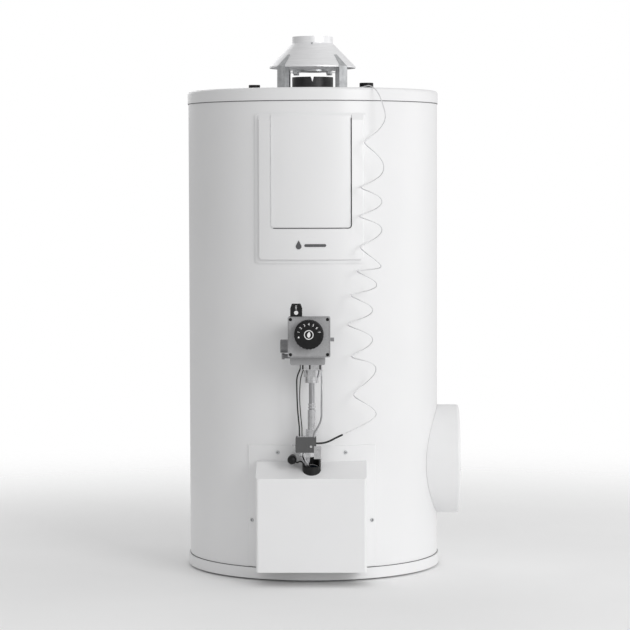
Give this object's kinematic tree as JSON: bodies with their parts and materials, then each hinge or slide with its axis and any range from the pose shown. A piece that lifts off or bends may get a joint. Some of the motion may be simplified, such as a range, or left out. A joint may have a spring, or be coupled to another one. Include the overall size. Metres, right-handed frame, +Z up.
{
  "type": "tank water heater",
  "caption": "Floor-standing gas storage water heater with draught hood, front gas valve, safety tubes, burner cover and a coiled sensor lead.",
  "frame": {"origin": "on the casing's axis at floor level, where the levelling feet stand", "axes": "+Z up the casing's axis; -Y is the front with the gas valve; +X is the side with the inspection cover"},
  "size_m": [0.6009, 0.6803, 1.169],
  "materials": {
    "white_enamel": "satin white powder coat",
    "galvanised_steel": "galvanised sheet",
    "bright_sheet": "spun bright aluminium",
    "black_enamel": "matt black enamel",
    "tank_steel": "glass enamelled steel",
    "foam": "rigid polyurethane foam",
    "nipple_steel": "machined steel",
    "black_plastic": "moulded black plastic",
    "natural_plastic": "translucent plastic",
    "magnesium": "cast magnesium",
    "gasket_rubber": "matt",
    "cast_grey": "die cast, grey",
    "black_screw": "blackened steel",
    "white_print": "white print",
    "badge_grey": "printed dark grey",
    "grey_casting": "die cast",
    "chromed_brass": "chrome plated",
    "steel_tube": "zinc plated tube",
    "dark_sheath": "matt",
    "block_grey": "moulded, textured",
    "burner_steel": "heat scaled",
    "sensor_metal": "bright",
    "lead_metal": "fine bright lead"
  },
  "bodies": {
    "heater": {"outer_casing": "white_enamel", "casing_lid": "white_enamel", "base_pan": "white_enamel", "front_panel": "white_enamel", "burner_cover": "white_enamel", "inspection_collar": "white_enamel", "hood_legs": "galvanised_steel", "hood_baffle": "galvanised_steel", "sheet_screws": "galvanised_steel", "combustion_skirt": "galvanised_steel", "turbulator": "galvanised_steel", "immersion_well": "galvanised_steel", "inspection_bolts": "galvanised_steel", "flue_hood": "bright_sheet", "flue_tube": "black_enamel", "tank_shell": "tank_steel", "inspection_neck": "tank_steel", "inspection_plate": "tank_steel", "insulation": "foam", "hot_water_nipple": "nipple_steel", "cold_water_nipple": "nipple_steel", "circulation_nipple": "nipple_steel", "valve_stem": "nipple_steel", "pipe_shroud": "black_plastic", "piezo_igniter": "black_plastic", "dip_tube": "natural_plastic", "anode_rod": "magnesium", "inspection_gasket": "gasket_rubber", "valve_body": "cast_grey", "valve_cover": "cast_grey", "valve_cover_screws": "black_screw", "front_badge": "badge_grey", "gas_inlet_union": "grey_casting", "test_nipples": "grey_casting", "union_nuts": "chromed_brass", "pipe_sleeves": "chromed_brass", "block_fittings": "chromed_brass", "gas_pipe": "steel_tube", "burner_supply_pipe": "steel_tube", "pilot_gas_tube": "steel_tube", "safety_leads": "dark_sheath", "sensor_lead_sleeve": "dark_sheath", "interrupter_block": "block_grey", "burner": "burner_steel", "flue_sensor": "sensor_metal", "sensor_lead_top": "lead_metal", "sensor_lead_coil": "lead_metal", "sensor_lead_bottom": "lead_metal"},
    "foot_front_left": {"foot_front_left": "galvanised_steel"},
    "foot_front_right": {"foot_front_right": "galvanised_steel"},
    "foot_rear": {"foot_rear": "galvanised_steel"},
    "inspection_cover": {"inspection_cover": "white_enamel"},
    "hot_water_cap": {"hot_water_cap": "black_plastic"},
    "cold_water_cap": {"cold_water_cap": "black_plastic"},
    "circulation_cap": {"circulation_cap": "black_plastic"},
    "temperature_knob": {"temperature_knob": "black_plastic", "knob_dial_marks": "white_print"},
    "start_button": {"start_button": "black_plastic", "start_button_marks": "white_print"},
    "piezo_button": {"piezo_button": "black_plastic"}
  },
  "joints": [
    {"name": "foot_front_left_screw", "type": "slide", "parent": "heater", "child": "foot_front_left", "axis": [0, 0, -1], "range_m": [0, 0.015]},
    {"name": "foot_front_right_screw", "type": "slide", "parent": "heater", "child": "foot_front_right", "axis": [0, 0, -1], "range_m": [0, 0.015]},
    {"name": "foot_rear_screw", "type": "slide", "parent": "heater", "child": "foot_rear", "axis": [0, 0, -1], "range_m": [0, 0.015]},
    {"name": "inspection_cover_pull", "type": "slide", "parent": "heater", "child": "inspection_cover", "axis": [1, 0, 0], "range_m": [0, 0.08]},
    {"name": "hot_water_cap_lift", "type": "slide", "parent": "heater", "child": "hot_water_cap", "axis": [0, 0, 1], "range_m": [0, 0.12]},
    {"name": "cold_water_cap_lift", "type": "slide", "parent": "heater", "child": "cold_water_cap", "axis": [0, 0, 1], "range_m": [0, 0.12]},
    {"name": "circulation_cap_lift", "type": "slide", "parent": "heater", "child": "circulation_cap", "axis": [0, 0, 1], "range_m": [0, 0.12]},
    {"name": "temperature_turn", "type": "hinge", "parent": "heater", "child": "temperature_knob", "pos_m": [-0.003, -0.3808, 0.534], "axis": [0, -1, 0], "range_deg": [-110, 110]},
    {"name": "start_button_press", "type": "slide", "parent": "heater", "child": "start_button", "axis": [0, 0, -1], "range_m": [0, 0.0032], "stiffness_N_per_m": 600, "springref_m": -0.001},
    {"name": "piezo_press", "type": "slide", "parent": "heater", "child": "piezo_button", "axis": [0, 1, 0], "range_m": [0, 0.005], "stiffness_N_per_m": 500, "springref_m": -0.001}
  ]
}
